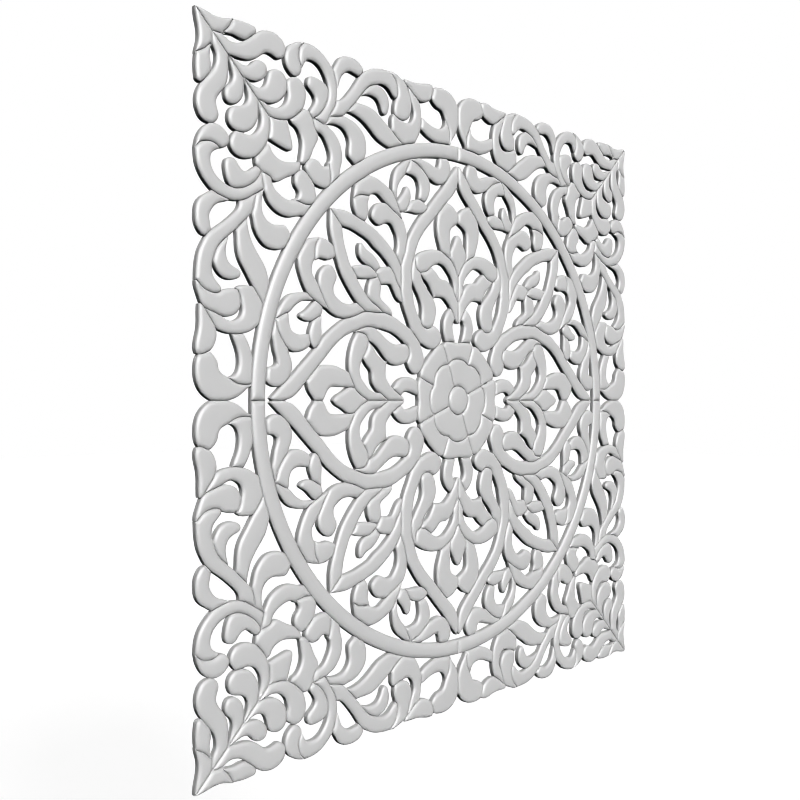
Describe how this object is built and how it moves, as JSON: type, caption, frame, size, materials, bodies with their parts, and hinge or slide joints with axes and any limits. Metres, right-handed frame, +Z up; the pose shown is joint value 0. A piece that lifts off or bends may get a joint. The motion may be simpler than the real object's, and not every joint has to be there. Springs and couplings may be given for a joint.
{
  "type": "carved panel",
  "caption": "Square pierced screen panel with mirrored carved scrolls, leaves, a round ring and a rosette on a flat back.",
  "frame": {"origin": "middle of the flat back", "axes": "+Z up, +X to the right seen from the front, the carved front looks toward -Y, +Y out of the flat back toward what the panel is fixed to"},
  "size_m": [1.2006, 0.0135, 1.2006],
  "materials": {
    "painted_board": "fibreboard with smooth matt light grey paint",
    "pin_steel": "plain steel"
  },
  "bodies": {
    "root": {"back_fret_lower_left": "painted_board", "back_fret_lower_right": "painted_board", "back_fret_upper_left": "painted_board", "back_fret_upper_right": "painted_board", "border_heart_bottom": "painted_board", "border_heart_left": "painted_board", "border_heart_right": "painted_board", "border_heart_top": "painted_board", "border_scroll_bottom_left": "painted_board", "border_scroll_bottom_right": "painted_board", "border_scroll_left_lower": "painted_board", "border_scroll_left_upper": "painted_board", "border_scroll_right_lower": "painted_board", "border_scroll_right_upper": "painted_board", "border_scroll_top_left": "painted_board", "border_scroll_top_right": "painted_board", "corner_fan_lower_left": "painted_board", "corner_fan_lower_right": "painted_board", "corner_fan_upper_left": "painted_board", "corner_fan_upper_right": "painted_board", "corner_spray_lower_left": "painted_board", "corner_spray_lower_right": "painted_board", "corner_spray_upper_left": "painted_board", "corner_spray_upper_right": "painted_board", "joint_pins": "pin_steel", "lens_flower_lower_left": "painted_board", "lens_flower_lower_right": "painted_board", "lens_flower_upper_left": "painted_board", "lens_flower_upper_right": "painted_board", "ogee_arch_lower_left": "painted_board", "ogee_arch_lower_right": "painted_board", "ogee_arch_upper_left": "painted_board", "ogee_arch_upper_right": "painted_board", "palmette_bottom": "painted_board", "palmette_left": "painted_board", "palmette_right": "painted_board", "palmette_top": "painted_board", "ring_arc_lower_left": "painted_board", "ring_arc_lower_right": "painted_board", "ring_arc_upper_left": "painted_board", "ring_arc_upper_right": "painted_board", "rosette_button": "painted_board", "rosette_inner_flower": "painted_board", "rosette_outer_petals": "painted_board", "spandrel_scroll_bottom_left": "painted_board", "spandrel_scroll_bottom_right": "painted_board", "spandrel_scroll_left_lower": "painted_board", "spandrel_scroll_left_upper": "painted_board", "spandrel_scroll_right_lower": "painted_board", "spandrel_scroll_right_upper": "painted_board", "spandrel_scroll_top_left": "painted_board", "spandrel_scroll_top_right": "painted_board"}
  },
  "joints": []
}
